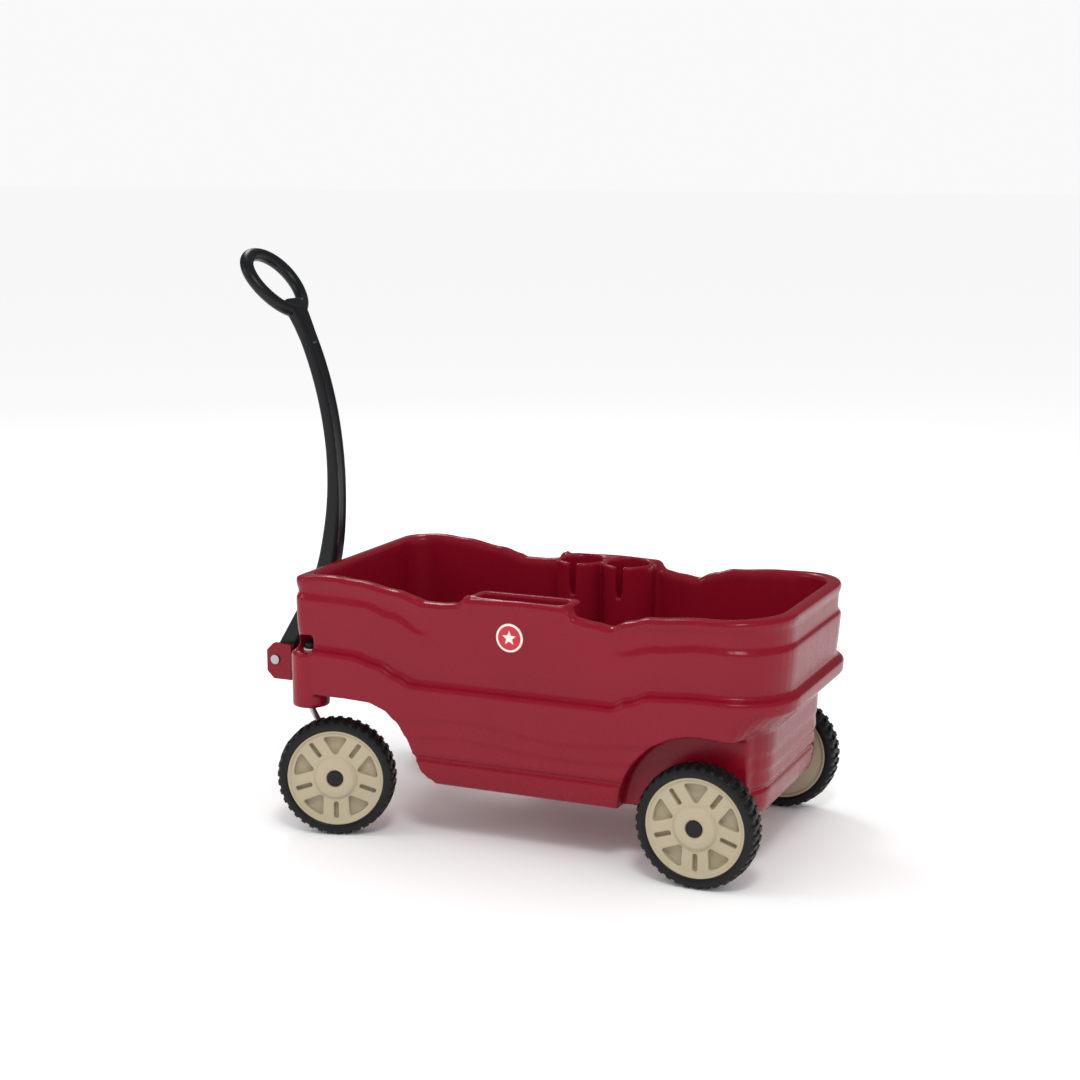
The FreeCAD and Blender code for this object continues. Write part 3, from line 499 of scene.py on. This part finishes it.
# %% Melt the tub into one moulding
for body in early:
    first = tub_base.modifiers.new(body.name, "BOOLEAN")
    first.operation = "DIFFERENCE"
    first.solver = "EXACT"
    first.object = body
tub = fused("tub_moulding", tub_base, added, [b for b in cut if b not in early], 3.0, 4, 170000)
for body in early:
    bpy.data.objects.remove(body)
tub.data.materials.append(TUB_PLASTIC)
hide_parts("tub")
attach(tub, "tub")

# %% [markdown]
# The handle is one black moulding. Its shank rises from the hinge, bends and bows up to the neck,
# where the grip loop leans forward. The arm is one section pushed along its middle line, and a long
# shallow channel runs down its rear face between two raised edges.

# %% The handle
HINGE = (590, 243)
BOW_BACK, BOW_RISE, BOW_RADIUS = 466.5, 590, 682
BOW_JOIN, BEND_RADIUS = 452, 260
NECK_HEIGHT = 900
GRIP_LEAN = math.radians(41)
GRIP_LENGTH, GRIP_WIDTH = 142, 128


def handle_line(steps):
    """Points and directions along the handle's middle line, from the hinge to the neck."""
    centre = Vector((BOW_BACK + BOW_RADIUS, BOW_RISE))
    on_bow = lambda z: Vector((centre.x - math.sqrt(BOW_RADIUS ** 2 - (z - centre.y) ** 2), z))
    join = on_bow(BOW_JOIN)
    bend = join + (centre - join).normalized() * BEND_RADIUS
    away = Vector(HINGE) - bend
    opening = math.acos(BEND_RADIUS / away.length)
    touch = bend + Matrix.Rotation(opening, 2) @ away.normalized() * BEND_RADIUS
    other = bend + Matrix.Rotation(-opening, 2) @ away.normalized() * BEND_RADIUS
    touch = min(touch, other, key=lambda p: (p - join).length)
    line = [Vector(HINGE).lerp(touch, i / 8) for i in range(8)]
    turn = (touch - bend).angle_signed(join - bend)
    line += [bend + Matrix.Rotation(-turn * i / 6, 2) @ (touch - bend) for i in range(6)]
    line += [on_bow(BOW_JOIN + (NECK_HEIGHT - BOW_JOIN) * i / steps) for i in range(steps + 1)]
    return line


def channel_shift(share):
    """How far behind the middle line the channel's middle runs, so that it is 2.5 mm deep."""
    return arm_depth(0.30 + 0.62 * share) + 1.5


def pushed_section(name, line, half_width, half_depth, shift=lambda share: 0.0):
    """A rounded oblong, bridged from point to point of a line in the wagon's middle plane."""
    mesh = bmesh.new()
    loops = []
    for i, point in enumerate(line):
        ahead = line[min(i + 1, len(line) - 1)] - line[max(i - 1, 0)]
        ahead.normalize()
        out = Vector((ahead.y, -ahead.x))
        share = i / (len(line) - 1)
        wide, deep = half_width(share), half_depth(share)
        middle = point - out * shift(share)
        corners = [(-1, -1), (1, -1), (1, 1), (-1, 1)]
        verts = [mesh.verts.new(at(middle.x + out.x * a * deep, b * wide, middle.y + out.y * a * deep)) for a, b in corners]
        face = mesh.faces.new(verts)
        bmesh.ops.bevel(mesh, geom=verts, offset=min(wide, deep) * 0.55 * MM, segments=5, profile=0.5, affect="VERTICES", material=-1)
        face = [f for f in mesh.faces if f.is_valid and len(f.verts) > 12][-1]
        loops.append(list(face.edges))
        mesh.faces.remove(face)
    for lower, upper in zip(loops, loops[1:]):
        bmesh.ops.bridge_loops(mesh, edges=lower + upper)
    for end in (loops[0], loops[-1]):
        bmesh.ops.contextual_create(mesh, geom=end)
    return solid(mesh, name)


def grip_loop():
    """An egg-shaped loop: a round rod spun about the loop's middle, then stretched."""
    mesh = bmesh.new()
    rod = bmesh.ops.create_circle(mesh, segments=24, radius=12 * MM)
    turn = Matrix.Rotation(math.pi / 2, 4, "X")
    bmesh.ops.transform(mesh, matrix=Matrix.Translation(AHEAD * GRIP_WIDTH / 2 * MM) @ turn, verts=rod["verts"])
    bmesh.ops.spin(mesh, geom=mesh.verts[:] + mesh.edges[:], cent=(0, 0, 0), axis=(0, 0, 1), angle=2 * math.pi, steps=72,
                   use_merge=True)
    for vert in mesh.verts:
        along_loop = vert.co.y / (GRIP_LENGTH / 2 * MM)
        vert.co.x *= 1.0 + 0.10 * max(-1, min(1, along_loop))
    bmesh.ops.scale(mesh, verts=mesh.verts, vec=(1, (GRIP_LENGTH - 8) / GRIP_WIDTH, 1))
    lean = Matrix.Rotation(GRIP_LEAN, 4, "Y") @ Matrix(((0, 0, 1, 0), (1, 0, 0, 0), (0, 1, 0, 0), (0, 0, 0, 1)))
    neck_x = handle_line(4)[-1].x
    middle = at(neck_x, 0, NECK_HEIGHT) + Vector((math.sin(GRIP_LEAN), 0, math.cos(GRIP_LEAN))) * GRIP_LENGTH / 2 * MM
    bmesh.ops.transform(mesh, matrix=Matrix.Translation(middle) @ lean, verts=mesh.verts)
    return solid(mesh, "grip_loop")


def arm_depth(share):
    """Half the arm's depth fore and aft: thick above the hinge, slim at the neck."""
    swell = math.exp(-(((share - 0.24) / 0.16) ** 2))
    return 15.5 - 4.5 * min(1, share * 1.7) + 4.7 * swell


def make_handle():
    line = handle_line(40)
    arm = pushed_section("handle_arm", line, lambda share: 20 - 2 * share, arm_depth)
    upper = line[16:-5]
    channel = pushed_section("channel", upper, lambda share: 11.5 - 1.5 * share, lambda share: 4.0, shift=channel_shift)
    knuckle = drum("knuckle", at(HINGE[0], 0, HINGE[1]), LEFT, 17, 38)
    bore = drum("pin_bore", at(HINGE[0], 0, HINGE[1]), LEFT, 5.3, 60)
    neck = line[-1]
    tip = Vector((neck.x + math.sin(GRIP_LEAN) * 27, neck.y + math.cos(GRIP_LEAN) * 27))
    collar = pushed_section("neck", [line[-6], line[-3], neck, tip], lambda share: 17 + 10 * share, lambda share: 11)
    made = fused("handle_moulding", arm, [knuckle, collar, grip_loop()], [channel, bore], 2.2, 4, 60000)
    made.data.materials.append(HANDLE_PLASTIC)
    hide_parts("pull_handle")
    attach(made, "handle")
    return made


handle = make_handle()

# %% [markdown]
# The tyres are hollow vinyl rings. The sidewall is smooth, and the crown carries two rows of short
# lugs, one row half a step behind the other. A section is spun round the wheel, and every second
# face of each crown row is extruded and pushed out.

# %% Tyres
TYRE_RADIUS, TYRE_HALF, SEAT_RADIUS = 105, 23.5, 86.3
LUG = 3.2
TREAD_STEPS = 76


def make_tyre(name, body, place):
    mesh = bmesh.new()
    crown = TYRE_RADIUS - LUG
    section = [(SEAT_RADIUS - 0.5, -20.5), (SEAT_RADIUS + 2, -22.5), (90, TYRE_HALF * -1 + 0.4), (95, -23.5), (99, -22.2),
               (crown - 0.8, -18), (crown, -9), (crown + 0.3, 0), (crown, 9), (crown - 0.8, 18), (99, 22.2), (95, 23.5),
               (90, 23.1), (SEAT_RADIUS + 2, 22.5), (SEAT_RADIUS - 0.5, 20.5)]
    verts = [mesh.verts.new(Vector((r, 0, z)) * MM) for r, z in section]
    edges = [mesh.edges.new(pair) for pair in zip(verts, verts[1:] + verts[:1])]
    bmesh.ops.spin(mesh, geom=verts + edges, cent=(0, 0, 0), axis=(0, 0, 1), angle=2 * math.pi, steps=TREAD_STEPS,
                   use_merge=True)
    bmesh.ops.recalc_face_normals(mesh, faces=mesh.faces)
    lugs = []
    for face in mesh.faces:
        middle = face.calc_center_median()
        radius = Vector((middle.x, middle.y)).length / MM
        step = int(round(math.atan2(middle.y, middle.x) / (2 * math.pi) * TREAD_STEPS - 0.5))
        row = 0 if middle.z > 0 else 1
        if radius > 98.5 and abs(middle.z) < 21 * MM and (step + row) % 2 == 0:
            lugs.append(face)
    grown = bmesh.ops.extrude_face_region(mesh, geom=lugs)
    tops = {v for v in grown["geom"] if isinstance(v, bmesh.types.BMVert)}
    bmesh.ops.delete(mesh, geom=lugs, context="FACES")
    for vert in tops:
        flat = Vector((vert.co.x, vert.co.y, 0)).normalized()
        vert.co += flat * (LUG * 0.92) * MM * (1.0 if abs(vert.co.z) < 20 * MM else 0.55)
    bmesh.ops.transform(mesh, matrix=place, verts=mesh.verts)
    made = solid(mesh, name + "_tread")
    edge = made.modifiers.new("edge", "BEVEL")
    edge.width = 0.7 * MM
    edge.segments = 2
    edge.limit_method = "ANGLE"
    edge.angle_limit = math.radians(32)
    for polygon in made.data.polygons:
        polygon.use_smooth = True
    made.data.materials.append(TYRE_PLASTIC)
    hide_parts(name + "_tyre")
    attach(made, body)
    return made


def wheel_place(name, hub):
    """The matrix that lays a wheel's own +Z along its hub axis, outer face out."""
    return Matrix.Translation(hub) @ AXES[name].to_track_quat("Z", "X").to_matrix().to_4x4()


# %% [markdown]
# The disc of a wheel is one beige moulding: a rim ring, a web and a domed hub that holds the cap.
# Five sunk windows stand between five spokes, and each spoke has a slot. The profile is spun, the
# windows and slots are cut, and the same melt as the tub's rounds every edge.


# %% Wheel discs
DISC = [(5.6, -26), (20, -26), (20, -16), (81.3, -16), (81.3, -20), (86.3, -20), (86.3, 20), (82.6, 20), (80.8, 17),
        (79, 16), (39, 16), (37.5, 19), (33, 22.6), (25, 24), (17, 23.6), (14.3, 22), (14.3, 12), (5.6, 12)]


def sunk(name, outline, angle, depth):
    """A cutter for the disc's face: an outline on +X, turned by an angle about the hub."""
    turn = Matrix.Rotation(math.radians(angle), 2)
    turned = [turn @ Vector(point) for point in outline]
    return slab(name, [(p.x + ORIGIN_AHEAD, p.y) for p in turned], 16 - depth, 30)


def disc_body():
    mesh = bmesh.new()
    verts = [mesh.verts.new(Vector((r, 0, z)) * MM) for r, z in DISC]
    edges = [mesh.edges.new(pair) for pair in zip(verts, verts[1:] + verts[:1])]
    whole = {"axis": (0, 0, 1), "angle": 2 * math.pi, "steps": 96, "use_merge": True}
    bmesh.ops.spin(mesh, geom=verts + edges, cent=(0, 0, 0), **whole)
    body = solid(mesh, "disc_body")
    window = [(42, -2.5), (42, 2.5), (69, 20.5)] + arc_points((0, 0), 75, 14.5, -14.5, 10) + [(69, -20.5)]
    slot = [(45, -3), (47, -4), (73, -4), (75, -3), (75, 3), (73, 4), (47, 4), (45, 3)]
    cutters = [sunk("window", window, 72 * i, 14) for i in range(5)]
    cutters += [sunk("slot", slot, 72 * i + 36, 12) for i in range(5)]
    return fused("disc", body, [], cutters, 1.3, 3, 60000)


def place_disc(body, name, carrier, place):
    made = body.copy()
    made.data = body.data.copy()
    made.name = name + "_disc"
    made.data.transform(place)
    bpy.context.scene.collection.objects.link(made)
    made.data.materials.append(WHEEL_PLASTIC)
    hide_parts(name + "_wheel")
    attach(made, carrier)


JOINT_OF = {"front_left": "front_left_spin", "front_right": "front_right_spin", "rear_left": "rear_left_spin",
            "rear_right": "rear_right_spin"}
joints = {j["name"]: j for j in frame["record"]["behaviour"]["joints"]}
AXES = {name: Vector(joints[spin]["axis"]) * (1 if "left" in name else -1) for name, spin in JOINT_OF.items()}
disc = disc_body()
for name, spin in JOINT_OF.items():
    hub = wheel_place(name, Vector(joints[spin]["pos_m"]))
    make_tyre(name, name + "_wheel", hub)
    place_disc(disc, name, name + "_wheel", hub)
bpy.data.objects.remove(disc)

# %% [markdown]
# The caps, rods and bracket already have their true shapes in the frame. They get a weld and a
# narrow bevel, so that their edges catch the light as moulded and pressed edges do.

# %% Finish the pieces that keep their CAD shape
FINISHES = {
    "_hub_cap": CAP_PLASTIC, "_nut": CAP_PLASTIC, "_collar": CAP_PLASTIC, "_bush": BUSH_PLASTIC,
    "_spacer": BUSH_PLASTIC, "bracket": TUB_PLASTIC,
}


def finish_node(name, node, width):
    material = next((m for ending, m in FINISHES.items() if ending in name), ZINC)
    node.data.materials.clear()
    node.data.materials.append(material)
    weld = node.modifiers.new("weld", "WELD")
    weld.merge_threshold = 0.00001
    edge = node.modifiers.new("edge", "BEVEL")
    edge.width = width * MM
    edge.segments = 2
    edge.limit_method = "ANGLE"
    edge.angle_limit = math.radians(35)
    edge.use_clamp_overlap = True


REPLACED = [n for n in nodes if n in ("tub", "pull_handle") or n.endswith(("_tyre", "_badge", "_wheel"))]
for name, node in nodes.items():
    if name not in REPLACED:
        finish_node(name, node, 0.9 if name == "hitch_bracket" else 0.35)
print("finished nodes", len(nodes) - len(REPLACED))

# %% [markdown]
# A round badge sits on each side below the tray. It is a shallow vinyl disc with a cream rim and a
# red field, and in the middle a plain raised star.


# %% Badges
def make_badge(side_name, side):
    low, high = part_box(side_name + "_badge")
    middle = (Vector(low) + Vector(high)) / 2
    rim = bmesh.new()
    bmesh.ops.create_cone(rim, cap_ends=True, segments=72, radius1=25 * MM, radius2=24 * MM, depth=1.8 * MM)
    top = max(rim.faces, key=lambda f: f.calc_center_median().z)
    field = bmesh.ops.inset_individual(rim, faces=[top], thickness=3.0 * MM, depth=-0.7 * MM)
    top.material_index = 1
    star = [rim.verts.new(Vector((math.sin(i * math.pi / 5), math.cos(i * math.pi / 5), 0)) * (13 if i % 2 == 0 else 5.6) * MM
                          + UP * 0.2 * MM) for i in range(10)]
    face = rim.faces.new(star)
    grown = bmesh.ops.extrude_face_region(rim, geom=[face])
    raised = [v for v in grown["geom"] if isinstance(v, bmesh.types.BMVert)]
    bmesh.ops.translate(rim, verts=raised, vec=UP * 0.7 * MM)
    turn = (LEFT * side).to_track_quat("Z", "Y").to_matrix().to_4x4()
    bmesh.ops.transform(rim, matrix=Matrix.Translation(middle) @ turn, verts=rim.verts)
    made = solid(rim, side_name + "_badge_face")
    made.data.materials.append(BADGE_CREAM)
    made.data.materials.append(BADGE_RED)
    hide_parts(side_name + "_badge")
    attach(made, "tub")


make_badge("left", 1)
make_badge("right", -1)
